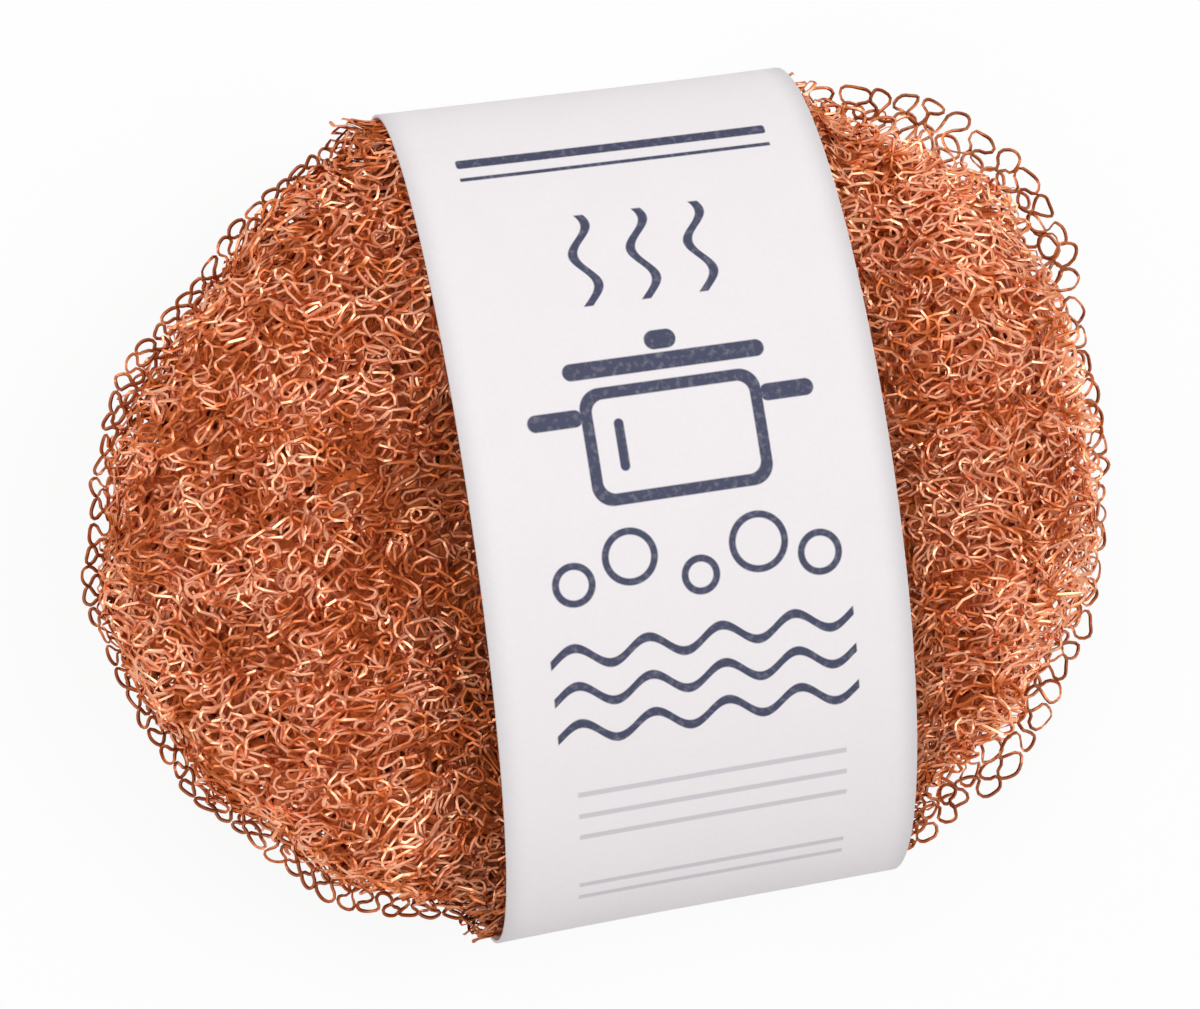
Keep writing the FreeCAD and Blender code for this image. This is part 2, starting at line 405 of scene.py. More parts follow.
def pressed_place(tree, given):
    """Where each point lies once the band has pressed the fabric in and the underside lies flat.

    Beside the band the fabric may spill out a little further than its loop.
    """
    spot = parts_of(tree, here(tree))
    beside = calc(tree, "ABSOLUTE", calc(tree, "SUBTRACT", spot["X"], given["Band Middle"]))
    beside = calc(tree, "SUBTRACT", beside, given["Band Half Width"])
    spill = calc(tree, "MULTIPLY", stretch(tree, beside, SPILL_START, SPILL_END), given["Spill"])
    above = calc(tree, "SUBTRACT", spot["Z"], given["Axis Height"])
    across_share = calc(tree, "DIVIDE", spot["Y"], calc(tree, "ADD", given["Waist Half Width"], spill))
    above_share = calc(tree, "DIVIDE", above, calc(tree, "ADD", given["Waist Half Height"], spill))
    squares = calc(tree, "POWER", across_share, 2.0)
    squares = calc(tree, "ADD", squares, calc(tree, "POWER", above_share, 2.0))
    reach = calc(tree, "SQRT", squares)
    over = calc(tree, "MAXIMUM", calc(tree, "SUBTRACT", reach, UNPRESSED_SHARE), 0.0)
    softness = calc(tree, "ADD", calc(tree, "DIVIDE", over, 1.0 - UNPRESSED_SHARE), 1.0)
    held = calc(tree, "MINIMUM", reach, UNPRESSED_SHARE)
    held = calc(tree, "ADD", held, calc(tree, "DIVIDE", over, softness))
    press = calc(tree, "DIVIDE", held, calc(tree, "MAXIMUM", reach, LEAST_REACH))
    height = calc(tree, "ADD", calc(tree, "MULTIPLY", above, press), given["Axis Height"])
    pressed = tree.nodes.new("ShaderNodeCombineXYZ")
    tree.links.new(spot["X"], pressed.inputs["X"])
    tree.links.new(calc(tree, "MULTIPLY", spot["Y"], press), pressed.inputs["Y"])
    tree.links.new(calc(tree, "MAXIMUM", height, given["Lowest"]), pressed.inputs["Z"])
    return pressed.outputs["Vector"]


def flat_wire(tree, given, curve):
    """The flat wire along the curves, twisting as it goes and thinner on the rim."""
    facing = tree.nodes.new("GeometryNodeSetCurveNormal")
    facing.mode = "FREE"
    tree.links.new(curve, facing.inputs["Curve"])
    tree.links.new(way_out(tree), facing.inputs["Normal"])
    twist = parts_of(tree, drift(tree, here(tree), TWISTS_PER_METRE, given["Seed"]))
    tilted = tree.nodes.new("GeometryNodeSetCurveTilt")
    tree.links.new(facing.outputs["Curve"], tilted.inputs["Curve"])
    tree.links.new(calc(tree, "MULTIPLY", twist["Z"], TWIST_ANGLE), tilted.inputs["Tilt"])
    sized = tree.nodes.new("GeometryNodeSetCurveRadius")
    tree.links.new(tilted.outputs["Curve"], sized.inputs["Curve"])
    tree.links.new(read_attribute(tree, "gauge"), sized.inputs["Radius"])
    round_wire = tree.nodes.new("GeometryNodeCurvePrimitiveCircle")
    tree.links.new(given["Wire Sides"], round_wire.inputs["Resolution"])
    round_wire.inputs["Radius"].default_value = 0.5
    section = tree.nodes.new("ShaderNodeCombineXYZ")
    tree.links.new(given["Wire Thickness"], section.inputs["X"])
    tree.links.new(given["Wire Width"], section.inputs["Y"])
    section.inputs["Z"].default_value = 1.0
    rolled = tree.nodes.new("GeometryNodeTransform")
    tree.links.new(round_wire.outputs["Curve"], rolled.inputs["Geometry"])
    tree.links.new(section.outputs["Vector"], rolled.inputs["Scale"])
    drawn = tree.nodes.new("GeometryNodeCurveToMesh")
    tree.links.new(sized.outputs["Curve"], drawn.inputs["Curve"])
    tree.links.new(rolled.outputs["Geometry"], drawn.inputs["Profile Curve"])
    flat = tree.nodes.new("GeometryNodeSetShadeSmooth")
    flat.inputs["Shade Smooth"].default_value = False
    tree.links.new(drawn.outputs["Mesh"], flat.inputs["Geometry"])
    return flat.outputs["Geometry"]


def knit_tree():
    """Plain knit on a set of courses, from their lines to the finished wire."""
    tree = bpy.data.node_groups.new("plain_knit", "GeometryNodeTree")
    tree.interface.new_socket("Courses", in_out="INPUT", socket_type="NodeSocketGeometry")
    for name, kind in KNIT_INPUTS.items():
        tree.interface.new_socket(name, in_out="INPUT", socket_type=kind)
    tree.interface.new_socket("Knit", in_out="OUTPUT", socket_type="NodeSocketGeometry")
    given = tree.nodes.new("NodeGroupInput").outputs

    curve, stitch, points = counted_courses(tree, given)
    loop, tone = loop_offset(tree, given, stitch, points)
    curve = move(tree, noted(tree, curve, "tone", tone), "Offset", loop)
    wander, dive = slack_offset(tree, given)
    curve = move(tree, noted(tree, curve, "lift", dive), "Offset", wander)
    curve = move(tree, curve, "Position", pressed_place(tree, given))

    realize = tree.nodes.new("GeometryNodeRealizeInstances")
    tree.links.new(flat_wire(tree, given, curve), realize.inputs["Geometry"])
    finish = tree.nodes.new("GeometryNodeSetMaterial")
    tree.links.new(realize.outputs["Geometry"], finish.inputs["Geometry"])
    tree.links.new(given["Metal"], finish.inputs["Material"])
    tree.links.new(finish.outputs["Geometry"], tree.nodes.new("NodeGroupOutput").inputs["Knit"])
    return tree


plain_knit = knit_tree()
pad_low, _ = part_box("outer_turn")
band_low, band_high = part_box("paper_band")
UP = Vector((0.0, 0.0, 1.0))
FAR = 0.1
PAD_HALF_HEIGHT = 0.0175
PAD_CLEARANCE = 0.00035
PAPER = 0.00025
AXIS_HEIGHT = band_high.z - PAPER - PAD_CLEARANCE - PAD_HALF_HEIGHT
WAIST_HALF_WIDTH = band_high.y - PAPER - WIRE_WIDTH / 2
WAIST_HALF_HEIGHT = band_high.z - AXIS_HEIGHT - PAPER - WIRE_WIDTH / 2


def skin_of(node):
    """A node's surface, for rays to meet."""
    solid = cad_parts[node].data
    return BVHTree.FromPolygons([v.co for v in solid.vertices], [p.vertices for p in solid.polygons])


def cross_courses(node, heading, spacing):
    """Rings of (spot, facing) round a turn, square to the heading, evenly spaced over its surface."""
    skin = skin_of(node)
    along = Vector((math.cos(heading), math.sin(heading), 0.0))
    across = UP.cross(along)

    def middle_of(station):
        """The middle of the section at a station, or None past the tip."""
        centre = along * station + UP * AXIS_HEIGHT
        near = skin.ray_cast(centre - across * FAR, across)[0]
        other = skin.ray_cast(centre + across * FAR, -across)[0]
        return None if near is None or other is None else (near + other) / 2

    profile = []
    steps = 800
    for step in range(steps + 1):
        station = (2 * step / steps - 1) * FAR
        centre = middle_of(station)
        crown = skin.ray_cast(centre + UP * FAR, -UP)[0] if centre else None
        if crown:
            profile.append((station, crown.z))
    walked = [profile[0][1] - AXIS_HEIGHT]
    for (s0, z0), (s1, z1) in zip(profile, profile[1:]):
        walked.append(walked[-1] + math.hypot(s1 - s0, z1 - z0))
    total = walked[-1] + profile[-1][1] - AXIS_HEIGHT
    count = round(total / spacing)

    rings = []
    rays = 72
    for number in range(count):
        goal = (number + 0.5) / count * total
        passed = (station for (station, _), length in zip(profile, walked) if length >= goal)
        centre = middle_of(next(passed, profile[-1][0]))
        ring = []
        for ray in range(rays):
            turn = 2 * math.pi * ray / rays
            way = across * math.cos(turn) + UP * math.sin(turn)
            spot, facing, _, _ = skin.ray_cast(centre + way * FAR, -way)
            if spot:
                ring.append((spot, facing))
        rings.append(ring)
    return rings


RIM_GAUGE = 0.6
RING_LOOPS = (1.0, 1.0, 0.14)
SLACK_RUN = 0.015


def clamped(value):
    """A value kept between 0 and 1."""
    return min(max(value, 0.0), 1.0)


def beside_band(spot):
    """How far a spot is outside the band, along the pad; below 0 under it."""
    return max(band_low.x - spot.x, spot.x - band_high.x)


def slack_at(spot):
    """How loose the knit is: tight at the left, looser towards the right tip."""
    return clamped((spot.x - band_high.x) / SLACK_RUN)


def course_mesh(node, rings, film_and_shade, arcs):
    """The lines of one turn's courses: closed rings, and open arcs as (course, loop sizes, film and painted
    shade).
    """
    corners, edges, outward, loops, films_and_shades = [], [], [], [], []

    def lay(course, ends, course_loops, course_shades):
        """Adds one course; ends holds the corner that each of its edges runs to."""
        edges.extend(zip(range(len(corners), len(corners) + len(course)), ends))
        corners.extend(spot for spot, _ in course)
        outward.extend(facing for _, facing in course)
        loops.extend(course_loops for _ in course)
        films_and_shades.extend(course_shades)

    for ring in rings:
        first = len(corners)
        ends = [*range(first + 1, first + len(ring)), first]
        lay(ring, ends, RING_LOOPS, [film_and_shade(spot) for spot, _ in ring])
    for arc, arc_loops, arc_shade in arcs:
        first = len(corners)
        ends = range(first + 1, first + len(arc))
        lay(arc, ends, arc_loops, [arc_shade] * len(arc))
    mesh = bpy.data.meshes.new(f"{node}_courses")
    mesh.from_pydata(corners, edges, [])

    def note(name, values):
        """Writes one number for each corner."""
        attribute = mesh.attributes.new(name, "FLOAT", "POINT")
        attribute.data.foreach_set("value", values)

    facings = mesh.attributes.new("outward", "FLOAT_VECTOR", "POINT")
    facings.data.foreach_set("vector", [part for facing in outward for part in facing])
    note("slack", [slack_at(corner) for corner in corners])
    # the film and painted shade of each corner
    note("film_and_shade", films_and_shades)
    # the courses of the rim face straight up, and their wire is thinner
    note("gauge", [1.0 if facing != UP else RIM_GAUGE for facing in outward])
    note("loop_size", [loop for loop, _, _ in loops])
    note("stitch_size", [stitch for _, stitch, _ in loops])
    note("neck_size", [neck for _, _, neck in loops])
    return mesh


# the hidden turns are a coarse knit of broad strands that closes the view inwards;
# the turns that are seen have some sizes of their own
HIDDEN_KNIT = {
    "Stitch Width": 0.0030,
    "Loop Height": 0.0043,
    "Lean": 0.35,
    "Swirl": 0.9,
    "Sway": 0.0010,
    "Jitter": 0.0004,
    "Dive": 0.0003,
    "Wire Width": 0.0012,
    "Wire Thickness": WIRE_THICKNESS,
    "Wire Sides": 3,
    "Points per Stitch": 12,
    "Waist Half Width": WAIST_HALF_WIDTH,
    "Waist Half Height": WAIST_HALF_HEIGHT,
    "Axis Height": AXIS_HEIGHT,
    "Band Middle": (band_low.x + band_high.x) / 2,
    "Band Half Width": (band_high.x - band_low.x) / 2,
    "Spill": 0.0009,
    "Lowest": pad_low.z + WIRE_WIDTH / 2,
    "Metal": bounce_lit_wire,
}


def knit(node, rings, film_and_shade, arcs=(), **sizes):
    piece = bpy.data.objects.new(f"{node}_knit", course_mesh(node, rings, film_and_shade, arcs))
    bpy.context.scene.collection.objects.link(piece)
    values = {**HIDDEN_KNIT, **sizes}
    knitting = piece.modifiers.new("knit", "NODES")
    knitting.node_group = plain_knit
    for item in plain_knit.interface.items_tree:
        if item.name in values:
            knitting[item.identifier] = values[item.name]
    bpy.context.view_layer.update()
    evaluated = piece.evaluated_get(bpy.context.evaluated_depsgraph_get())
    knitted = bpy.data.meshes.new_from_object(evaluated)
    piece.modifiers.remove(knitting)
    piece.data = knitted
    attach(piece, "scrubber")
    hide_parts(node)


COVERED_REACH = 0.006
COVERED_LEAST = 0.4
LIT_SIDE_FROM = 0.004
LIT_SIDE_RUN = 0.016
LIT_SIDE_SHADE_LOSS = 0.55
HIDDEN_FILM = 0.1
INNER_SHADE_GAIN = 0.6
INNER_SHADE_REACH = 0.010


def band_shade(spot, reach):
    """The share of painted shade: 1 at the band's edges, where shade falls on the gathered knit, falling to
    0 over a reach beside them.

    Under the paper it falls too, and it is weaker towards +Y, where more light falls.
    """
    beside = beside_band(spot)
    if beside > 0:
        share = max(1.0 - beside / reach, 0.0)
    else:
        share = max(1.0 + beside / COVERED_REACH, COVERED_LEAST)
    return share * (1.0 - LIT_SIDE_SHADE_LOSS * clamped((spot.y - LIT_SIDE_FROM) / LIT_SIDE_RUN))


def inner_film_and_shade(spot):
    """An even brown film on the inner turns, with painted shade added close to the band."""
    return HIDDEN_FILM + INNER_SHADE_GAIN * band_shade(spot, INNER_SHADE_REACH)


RIM_DEPTH = 0.0019
SLACK_RIM_DEPTH = 0.0028
RIM_FACING = 0.94
RIM_RUN = 0.55
GRIP_REACH = 0.0025


def drawn_back(rings, lag):
    """Rings drawn back from the rim, so that only a fringe of loops reaches the outline."""
    drawn = []
    for ring in rings:
        course = []
        for spot, facing in ring:
            grip = math.exp(-(max(beside_band(spot), 0.0) / GRIP_REACH) ** 2)
            depth = RIM_DEPTH + SLACK_RIM_DEPTH * slack_at(spot) - lag
            rim = clamped((RIM_FACING - abs(facing.z)) / RIM_RUN) * (1.0 - grip)
            inward = Vector((-facing.x, -facing.y, 0.0)).normalized()
            course.append((spot + inward * depth * rim, facing))
        drawn.append(course)
    return drawn


# each turn with the heading of its courses, their spacing and its seed
INNER_TURNS = (
    ("core_roll", 90, 0.0030, 57),
    ("fifth_turn", 0, 0.0030, 43),
    ("fourth_turn", -40, 0.0026, 31),
    ("third_turn", 35, 0.0020, 23),
)
for node, heading, spacing, seed in INNER_TURNS:
    courses = cross_courses(node, math.radians(heading), spacing)
    knit(node, drawn_back(courses, lag=0.0022), inner_film_and_shade, Seed=seed)
knit(
    "second_turn",
    drawn_back(cross_courses("second_turn", heading=math.radians(60), spacing=0.0016), lag=0.0011),
    inner_film_and_shade,
    Seed=11,
    **{
        "Points per Stitch": 9,
        "Stitch Width": 0.0024,
        "Loop Height": 0.0036,
        "Lean": 0.5,
        "Dive": 0.0005,
        "Wire Width": WIRE_WIDTH,
        "Metal": bright_wire,
    },
)

# The outer turn: the last pull of the copper tube, the one that is seen, with its courses across the pad.
# It is squeezed at the band, swells against its edges, and has a shallow fold on the left. At the rim it
# is flattened, and chains of thin loops lie flat there and stand out round both ends of the pad.
FOLD_DEPTH = 0.0004
FOLD_LENGTH = 0.014
FOLD_WIDTH = 0.006
FOLD_START = 0.002
FOLD_SLANT = 0.25
LEFT_SWELL = 0.0026
RIGHT_SWELL = 0.0014
SWELL_REACH = 0.0024
FOLD_SHADE = 0.9
OUTER_SHADE_REACH = 0.009
RIM_WAVES = 5
RIM_WAVE_SHIFT = 900

# the courses of the rim: the depth behind the outline, the rise and fall along it, and the painted shade
# that browns their loops, then the (loop, stitch, neck) sizes of their loops, and their arcs as (middle,
# spread) in degrees
LEFT_RIM = ((0.0007, 0.002, 1.0), (0.0021, 0.003, 0.6))
RIGHT_RIM = ((-0.0002, 0.002, 1.0), (0.0011, 0.003, 0.6), (0.0025, 0.003, 0.4), (0.0040, 0.002, 0.2))
LEFT_LOOPS = (0.46, 0.95, 0.28)
RIGHT_LOOPS = (0.74, 1.30, 0.27)
LEFT_ARC = (180, 66)
RIGHT_ARC = (0, 60)


def fold_share(spot):
    """1 in the fold that runs out from the band across the left lobe, and 0 away from it."""
    along = (band_low.x - spot.x) / FOLD_LENGTH
    across = (spot.y - FOLD_START + FOLD_SLANT * (spot.x - band_low.x)) / FOLD_WIDTH
    return math.exp(-along * along - across * across)


def outer_shade(spot):
    """Painted shade, in brown, close to the band and in the fold."""
    return max(band_shade(spot, OUTER_SHADE_REACH), FOLD_SHADE * fold_share(spot))


def eased(spot, facing):
    """A spot of the outer turn's solid, moved to where the slack fabric lies."""
    rim = 1.0 - abs(facing.z)
    swell = LEFT_SWELL if spot.x < 0 else RIGHT_SWELL
    swell *= rim * math.exp(-(beside_band(spot) / SWELL_REACH) ** 2)
    fold = FOLD_DEPTH * fold_share(spot) if facing.z > 0 else 0.0
    return spot + facing * (swell - fold), facing


def rim_arc(middle, spread, depth, height):
    """A course along the pad's outline, whose loops lie flat and point outwards."""
    skin = skin_of("outer_turn")
    arc = []
    rays = 90
    for ray in range(rays + 1):
        turn = math.radians(middle + spread * (2 * ray / rays - 1))
        way = Vector((math.cos(turn), math.sin(turn), 0.0))
        level = AXIS_HEIGHT + height * math.sin(RIM_WAVES * turn + RIM_WAVE_SHIFT * depth)
        spot, facing, _, _ = skin.ray_cast(UP * level + way * FAR, -way)
        arc.append((spot - facing * depth, UP))
    return arc


rim_arcs = []
for depth, height, film_and_shade in LEFT_RIM:
    rim_arcs.append((rim_arc(*LEFT_ARC, depth, height), LEFT_LOOPS, film_and_shade))
for depth, height, film_and_shade in RIGHT_RIM:
    rim_arcs.append((rim_arc(*RIGHT_ARC, depth, height), RIGHT_LOOPS, film_and_shade))
outer_rings = drawn_back(cross_courses("outer_turn", heading=0.0, spacing=0.0016), lag=0.0)
outer_rings = [[eased(*point) for point in ring] for ring in outer_rings]
knit(
    "outer_turn",
    outer_rings,
    outer_shade,
    rim_arcs,
    Seed=3,
    **{
        "Stitch Width": 0.0021,
        "Loop Height": 0.0034,
        "Lean": 0.6,
        "Dive": 0.0006,
        "Wire Width": WIRE_WIDTH,
        "Metal": bright_wire,
    },
)

# The paper band: one strip of stiff white paper, printed in dark blue on its outside, bent round the pad.
# Its end is glued under the pad over its beginning; friction alone keeps it in its place on the wire.
PAPER_WHITE = (0.845, 0.803, 0.818, 1.0)
PAPER_FIBRE = (0.785, 0.743, 0.758, 1.0)
INK_BLUE = (0.052, 0.056, 0.105, 1.0)
INK_GREY = (0.42, 0.41, 0.46, 1.0)
OVERLAP_END = 0.0075
RAMP_LENGTH = 0.004
GLUE_FILM = 0.0001
GRID = 0.00125
FLARE = 0.00022
FLARE_FROM = 0.004
FLARE_RUN = 0.008
FLARE_WAVES = 90
FLARE_SKEW = 4
FIBRES_PER_METRE = 2600.0
CLOUDS_PER_METRE = 160.0
MILLIMETRES = 1000

# the print, in millimetres across the band from its middle and along it from its crown:
# bars as (middle, half size, corner), bubbles as (middle, radius), the rest by their places in a row
POT_OUTSIDE = ((0, 4.5), (8.6, 5.4), 2.0)
POT_INSIDE = ((0, 4.5), (7.5, 4.3), 1.2)
POT_LID = ((0, 11.6), (9.6, 0.8), 0.8)
POT_KNOB = ((0, 13.6), (1.5, 0.9), 0.9)
LEFT_HANDLE = ((-11.0, 7.4), (2.6, 0.8), 0.8)
RIGHT_HANDLE = ((11.0, 7.4), (2.6, 0.8), 0.8)
POT_GLEAM = ((-5.2, 4.5), (0.45, 2.4), 0.45)
THICK_RULE = ((0, 33.5), (15.0, 0.5), 0.3)
THIN_RULE = ((0, 31.7), (15.0, 0.2), 0.1)
BLUE_BARS = (POT_LID, POT_KNOB, LEFT_HANDLE, RIGHT_HANDLE, POT_GLEAM, THICK_RULE, THIN_RULE)
BUBBLES = (
    ((-11.5, -7.4), 1.7),
    ((-6.0, -5.6), 2.3),
    ((0.4, -8.2), 1.5),
    ((6.2, -6.0), 2.5),
    ((11.9, -7.8), 1.8),
)
STEAM = (-5.5, 0.0, 5.5)
WAVES = (-14.0, -17.5, -21.0)
GREY_RULES = (-27.0, -29.2, -31.4, -37.0, -38.6)
GREY_STRENGTH = 0.55
INK_EDGE = 0.07
WEAR_PER_MILLIMETRE = 1.6


def strip_line():
    """Points (y, z) along the middle of the paper, from its glued beginning round to its free end."""
    half_width = band_high.y - PAPER / 2
    half_height = band_high.z - AXIS_HEIGHT - PAPER / 2
    outer_ply = PAPER / 2
    inner_ply = outer_ply + PAPER + GLUE_FILM
    start = math.asin((AXIS_HEIGHT - inner_ply) / half_height)
    line = [(-OVERLAP_END, inner_ply)]
    steps = 720
    for step in range(steps + 1):
        turn = -start + (math.pi + 2 * start) * step / steps
        line.append((half_width * math.cos(turn), AXIS_HEIGHT + half_height * math.sin(turn)))
    line.append((-OVERLAP_END - RAMP_LENGTH, inner_ply))
    line.append((-OVERLAP_END, outer_ply))
    line.append((OVERLAP_END, outer_ply))
    return line


def evenly(line, spacing):
    """The same line with points at an even spacing, each with the length walked to it."""
    walked = [0.0]
    for (y0, z0), (y1, z1) in zip(line, line[1:]):
        walked.append(walked[-1] + math.hypot(y1 - y0, z1 - z0))
    count = round(walked[-1] / spacing)
    even = []
    leg = 0
    for step in range(count + 1):
        goal = walked[-1] * step / count
        while leg < len(line) - 2 and walked[leg + 1] < goal:
            leg += 1
        share = (goal - walked[leg]) / (walked[leg + 1] - walked[leg])
        (y0, z0), (y1, z1) = line[leg], line[leg + 1]
        even.append((y0 + (y1 - y0) * share, z0 + (z1 - z0) * share, goal))
    return even


def edge_flare(share, walked, z):
    """How far the paper's long edges stand off in slow waves, where the table leaves room for it."""
    flare = abs(2 * share - 1) ** 3 * (0.5 + 0.5 * math.sin(FLARE_WAVES * walked + FLARE_SKEW * share))
    return FLARE * flare * clamped((z - FLARE_FROM) / FLARE_RUN)


def sheet_faces(width, rows):
    """Faces of the outside, of the inside and of the cut edges of a sheet, and the count of the first."""
    back_start = width * rows
    faces = []
    for row in range(rows - 1):
        for column in range(width - 1):
            a = row * width + column
            faces.append((a, a + 1, a + 1 + width, a + width))
    outside = len(faces)
    faces += [tuple(back_start + corner for corner in reversed(face)) for face in faces]
    border = list(range(width))
    border += [row * width + width - 1 for row in range(1, rows)]
    border += [(rows - 1) * width + column for column in range(width - 2, -1, -1)]
    border += [row * width for row in range(rows - 2, 0, -1)]
    for a, b in zip(border, border[1:] + border[:1]):
        faces.append((b, a, back_start + a, back_start + b))
    return faces, outside


def band_mesh():
    """The bent strip with its print's coordinates, and the length of the strip."""
    line = evenly(strip_line(), GRID)
    crown = max(line, key=lambda spot: spot[1])[2]
    middle = (band_low.x + band_high.x) / 2
    columns = round((band_high.x - band_low.x) / (2 * GRID))
    corners, prints = [], []
    for side in (1, -1):
        for index, (y, z, walked) in enumerate(line):
            before = line[max(index - 1, 0)]
            after = line[min(index + 1, len(line) - 1)]
            run = math.hypot(after[0] - before[0], after[1] - before[1])
            out_y, out_z = (after[1] - before[1]) / run, -(after[0] - before[0]) / run
            for column in range(columns + 1):
                share = column / columns
                x = band_low.x + (band_high.x - band_low.x) * share
                off = side * PAPER / 2 + edge_flare(share, walked, z)
                corners.append((x, y + out_y * off, z + out_z * off))
                prints.append(((x - middle) * MILLIMETRES, (crown - walked) * MILLIMETRES))
    faces, outside = sheet_faces(columns + 1, len(line))
    mesh = bpy.data.meshes.new("paper_band_sheet")
    mesh.from_pydata(corners, [], faces)
    layer = mesh.uv_layers.new(name="print")
    for loop in mesh.loops:
        layer.data[loop.index].uv = prints[loop.vertex_index]
    for face in mesh.polygons:
        face.material_index = 0 if face.index < outside else 1
        face.use_smooth = face.index < 2 * outside
    return mesh, line[-1][2]


def paper_shader(name):
    """Uncoated white paper: cloudy, with short fibres that show as a faint grain."""
    material = bpy.data.materials.new(name)
    material.use_nodes = True
    tree = material.node_tree
    shader = tree.nodes["Principled BSDF"]
    place = tree.nodes.new("ShaderNodeTexCoord").outputs["Object"]
    fibres = cloud(tree, place, FIBRES_PER_METRE, detail=3.0)
    formation = cloud(tree, place, CLOUDS_PER_METRE)
    shade = stretch(tree, fibres, 0.35, 0.75, 0.0, 0.30)
    shade = calc(tree, "ADD", shade, stretch(tree, formation, 0.3, 0.8, 0.0, 0.25))
    bump = tree.nodes.new("ShaderNodeBump")
    bump.inputs["Strength"].default_value = 0.12
    bump.inputs["Distance"].default_value = 0.00005
    tree.links.new(fibres, bump.inputs["Height"])
    tree.links.new(bump.outputs["Normal"], shader.inputs["Normal"])
    shader.inputs["Roughness"].default_value = 0.62
    shader.inputs["Specular IOR Level"].default_value = 0.3
    return material, tree, shader, blend_colours(tree, shade, PAPER_WHITE, PAPER_FIBRE)


def covered(tree, distance):
    """1 where a distance in millimetres is below 0, with a soft printed edge."""
    return stretch(tree, distance, -INK_EDGE, INK_EDGE, 1.0, 0.0)


def away(tree, value, middle):
    """How far a value is from a middle."""
    return calc(tree, "ABSOLUTE", calc(tree, "SUBTRACT", value, middle))


def line_length(tree, dx, dy):
    """The length of a straight line from its two parts."""
    squares = calc(tree, "MULTIPLY", dx, dx)
    squares = calc(tree, "ADD", squares, calc(tree, "MULTIPLY", dy, dy))
    return calc(tree, "SQRT", squares)


def bar(tree, x, y, middle, half, corner):
    """A bar with round corners."""
    dx = calc(tree, "SUBTRACT", away(tree, x, middle[0]), half[0] - corner)
    dy = calc(tree, "SUBTRACT", away(tree, y, middle[1]), half[1] - corner)
    reach = line_length(tree, calc(tree, "MAXIMUM", dx, 0.0), calc(tree, "MAXIMUM", dy, 0.0))
    return covered(tree, calc(tree, "SUBTRACT", reach, corner))


def bubble(tree, x, y, middle, radius, line):
    """A ring."""
    dx = calc(tree, "SUBTRACT", x, middle[0])
    dy = calc(tree, "SUBTRACT", y, middle[1])
    off = away(tree, line_length(tree, dx, dy), radius)
    return covered(tree, calc(tree, "SUBTRACT", off, line / 2))


def ripple(tree, along, across, middle, half_length, swing, wave_length, line):
    """A wavy line of some length."""
    wave = calc(tree, "SINE", calc(tree, "MULTIPLY", along, 2 * math.pi / wave_length))
    off = calc(tree, "SUBTRACT", across, middle[1])
    off = calc(tree, "SUBTRACT", off, calc(tree, "MULTIPLY", wave, swing))
    off = calc(tree, "SUBTRACT", calc(tree, "ABSOLUTE", off), line / 2)
    end = calc(tree, "SUBTRACT", away(tree, along, middle[0]), half_length)
    return calc(tree, "MULTIPLY", covered(tree, off), covered(tree, end))


def strongest(tree, marks):
    """Marks laid over each other."""
    most = marks[0]
    for mark in marks[1:]:
        most = calc(tree, "MAXIMUM", most, mark)
    return most


def printed_paper():
    """The outside: a saucepan under steam, with bubbles, water and rules below it."""
    material, tree, shader, bare = paper_shader("printed_paper")
    layer = tree.nodes.new("ShaderNodeUVMap")
    layer.uv_map = "print"
    x, y, _ = parts_of(tree, layer.outputs["UV"])
    pot = calc(tree, "SUBTRACT", bar(tree, x, y, *POT_OUTSIDE), bar(tree, x, y, *POT_INSIDE))
    blue = [pot]
    blue += [bar(tree, x, y, *shape) for shape in BLUE_BARS]
    for row in STEAM:
        blue.append(ripple(tree, y, x, (22.0, row), half_length=4.5, swing=0.9, wave_length=6.0, line=0.9))
    for middle, radius in BUBBLES:
        blue.append(bubble(tree, x, y, middle, radius, line=0.65))
    for row in WAVES:
        blue.append(ripple(tree, x, y, (0.0, row), half_length=14.5, swing=0.9, wave_length=7.0, line=0.85))
    grey = [bar(tree, x, y, (0, row), half=(13.0, 0.25), corner=0.1) for row in GREY_RULES]
    wear = cloud(tree, layer.outputs["UV"], WEAR_PER_MILLIMETRE, detail=3.0)
    wear = stretch(tree, wear, 0.25, 0.5, 0.86, 1.0)
    grey_share = calc(tree, "MULTIPLY", strongest(tree, grey), GREY_STRENGTH)
    blue_share = calc(tree, "MULTIPLY", strongest(tree, blue), wear)
    coloured = blend_colours(tree, grey_share, bare, INK_GREY)
    coloured = blend_colours(tree, blue_share, coloured, INK_BLUE)
    tree.links.new(coloured, shader.inputs["Base Color"])
    return material


def plain_paper():
    """The inside and the cut edges, without print."""
    material, tree, shader, bare = paper_shader("plain_paper")
    tree.links.new(bare, shader.inputs["Base Color"])
    return material


sheet_mesh, strip_length = band_mesh()
sheet_mesh.materials.append(printed_paper())
sheet_mesh.materials.append(plain_paper())
band = bpy.data.objects.new("paper_band_sheet", sheet_mesh)
bpy.context.scene.collection.objects.link(band)
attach(band, "band")
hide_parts("paper_band")

# The glue: a thin film of white craft glue between the two plies of the overlap, dried clear and yellowish.
# It is spread by a roller and pressed flat, so it keeps faint streaks across the band.
GLUE_CLEAR = (0.80, 0.74, 0.58, 1.0)
GLUE_STREAK = (0.88, 0.85, 0.76, 1.0)
STREAKS_PER_METRE = 300.0
STREAK_SCALE = (1.0, 6.0, 1.0)


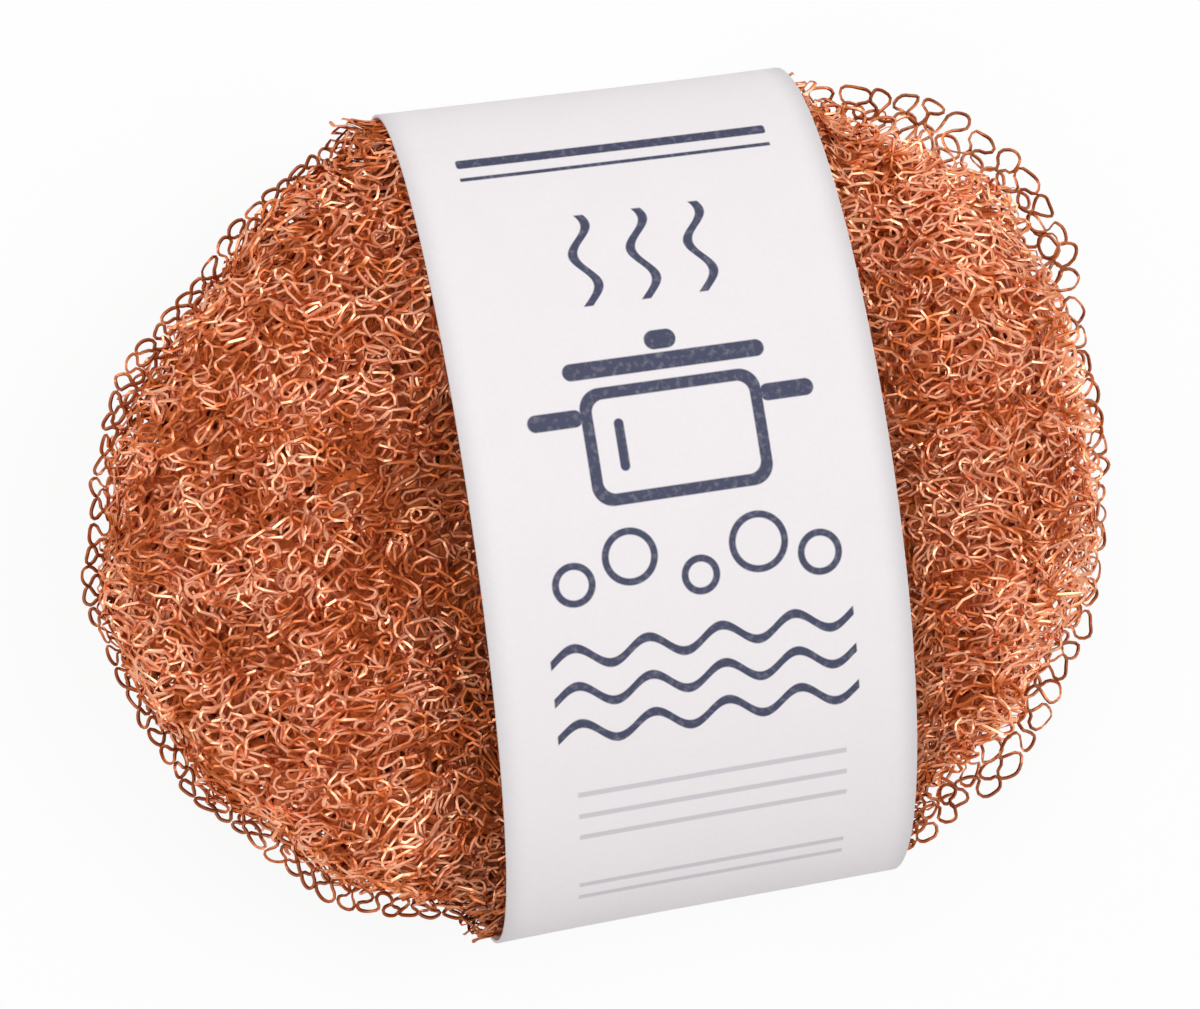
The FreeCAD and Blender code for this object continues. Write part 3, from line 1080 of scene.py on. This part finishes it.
def dried_glue():
    """Glue with streaks, duller where it is whiter."""
    material = bpy.data.materials.new("dried_glue")
    material.use_nodes = True
    tree = material.node_tree
    shader = tree.nodes["Principled BSDF"]
    place = tree.nodes.new("ShaderNodeTexCoord").outputs["Object"]
    drawn_out = vector_calc(tree, "MULTIPLY", place, STREAK_SCALE)
    streaks = stretch(tree, cloud(tree, drawn_out, STREAKS_PER_METRE, detail=3.0), 0.35, 0.65)
    tree.links.new(blend_colours(tree, streaks, GLUE_CLEAR, GLUE_STREAK), shader.inputs["Base Color"])
    tree.links.new(stretch(tree, streaks, 0.0, 1.0, 0.3, 0.5), shader.inputs["Roughness"])
    return material


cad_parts["glue_line"].material_slots[0].material = dried_glue()

# The floor, the light and the camera: a white table under soft round lamps, seen from almost above.
# The camera is fitted to the edges of the band.
FLOOR_HALF = 2.0
FLOOR_WHITE = (0.9, 0.9, 0.9, 1.0)
FLOOR_GLOW = 0.88
SKY_LIGHT = 0.55
LAMP_SIZE = 0.35
LAMP_AIM = Vector((0.0, 0.0, 0.02))
LAMPS = (
    ("key_lamp", (-0.25, 0.35, 0.7), 1.15),
    ("fill_lamp", (0.35, 0.1, 0.75), 1.25),
    ("front_lamp", (-0.2, 0.0, 0.87), 1.5),
)
CAMERA_TILT = -0.2421
CAMERA_LEAN = 0.0049
CAMERA_ROLL = -0.1457
CAMERA_AIM = Vector((-0.0010136, -0.0000324, AXIS_HEIGHT))
CAMERA_DISTANCE = 0.29137
FOCAL_PIXELS = 3027.85
PHOTO_PIXELS = 1200
SENSOR_WIDTH = 36.0


def seen_as_background(tree):
    """1 for what the camera sees directly, in a reflection or through something, and 0 for lighting."""
    path = tree.nodes.new("ShaderNodeLightPath").outputs
    seen = calc(tree, "MAXIMUM", path["Is Camera Ray"], path["Is Glossy Ray"])
    return calc(tree, "MAXIMUM", seen, path["Is Transmission Ray"])


def white_table():
    """White paint that shows almost pure white and keeps a faint shadow."""
    material = bpy.data.materials.new("white_table")
    material.use_nodes = True
    tree = material.node_tree
    paint = tree.nodes["Principled BSDF"]
    paint.inputs["Base Color"].default_value = FLOOR_WHITE
    paint.inputs["Roughness"].default_value = 0.8
    glow = tree.nodes.new("ShaderNodeEmission")
    mix = tree.nodes.new("ShaderNodeMixShader")
    tree.links.new(calc(tree, "MULTIPLY", seen_as_background(tree), FLOOR_GLOW), mix.inputs["Fac"])
    tree.links.new(paint.outputs["BSDF"], mix.inputs[1])
    tree.links.new(glow.outputs["Emission"], mix.inputs[2])
    tree.links.new(mix.outputs["Shader"], tree.nodes["Material Output"].inputs["Surface"])
    return material


floor_corners = [(x * FLOOR_HALF, y * FLOOR_HALF, 0.0) for x, y in ((-1, -1), (1, -1), (1, 1), (-1, 1))]
floor_mesh = bpy.data.meshes.new("floor")
floor_mesh.from_pydata(floor_corners, [], [(0, 1, 2, 3)])
floor_mesh.materials.append(white_table())
floor = bpy.data.objects.new("floor", floor_mesh)
bpy.context.scene.collection.objects.link(floor)

world = bpy.data.worlds.new("studio")
world.use_nodes = True
tree = world.node_tree
sky = tree.nodes["Background"]
sky.inputs["Color"].default_value = (1.0, 1.0, 1.0, 1.0)
tree.links.new(stretch(tree, seen_as_background(tree), 0.0, 1.0, SKY_LIGHT, 1.0), sky.inputs["Strength"])
bpy.context.scene.world = world

for name, place, power in LAMPS:
    lamp = bpy.data.lights.new(name, "AREA")
    lamp.shape = "DISK"
    lamp.size = LAMP_SIZE
    lamp.energy = power
    holder = bpy.data.objects.new(name, lamp)
    holder.location = place
    holder.rotation_euler = (LAMP_AIM - Vector(place)).to_track_quat("-Z", "Y").to_euler()
    bpy.context.scene.collection.objects.link(holder)

back = Vector((math.tan(CAMERA_TILT), math.tan(CAMERA_LEAN), 1.0)).normalized()
level = Vector((0.0, 1.0, 0.0)).cross(back).normalized()
rise = back.cross(level)
right = level * math.cos(CAMERA_ROLL) + rise * math.sin(CAMERA_ROLL)
upward = rise * math.cos(CAMERA_ROLL) - level * math.sin(CAMERA_ROLL)
turned = Matrix((right, upward, back)).transposed().to_4x4()
camera = bpy.data.objects.new("camera", bpy.data.cameras.new("camera"))
camera.data.sensor_width = SENSOR_WIDTH
camera.data.lens = FOCAL_PIXELS / PHOTO_PIXELS * SENSOR_WIDTH
camera.data.clip_start = 0.01
camera.matrix_world = Matrix.Translation(CAMERA_AIM + back * CAMERA_DISTANCE) @ turned
bpy.context.scene.collection.objects.link(camera)
bpy.context.scene.camera = camera
bpy.context.scene.view_settings.view_transform = "Standard"
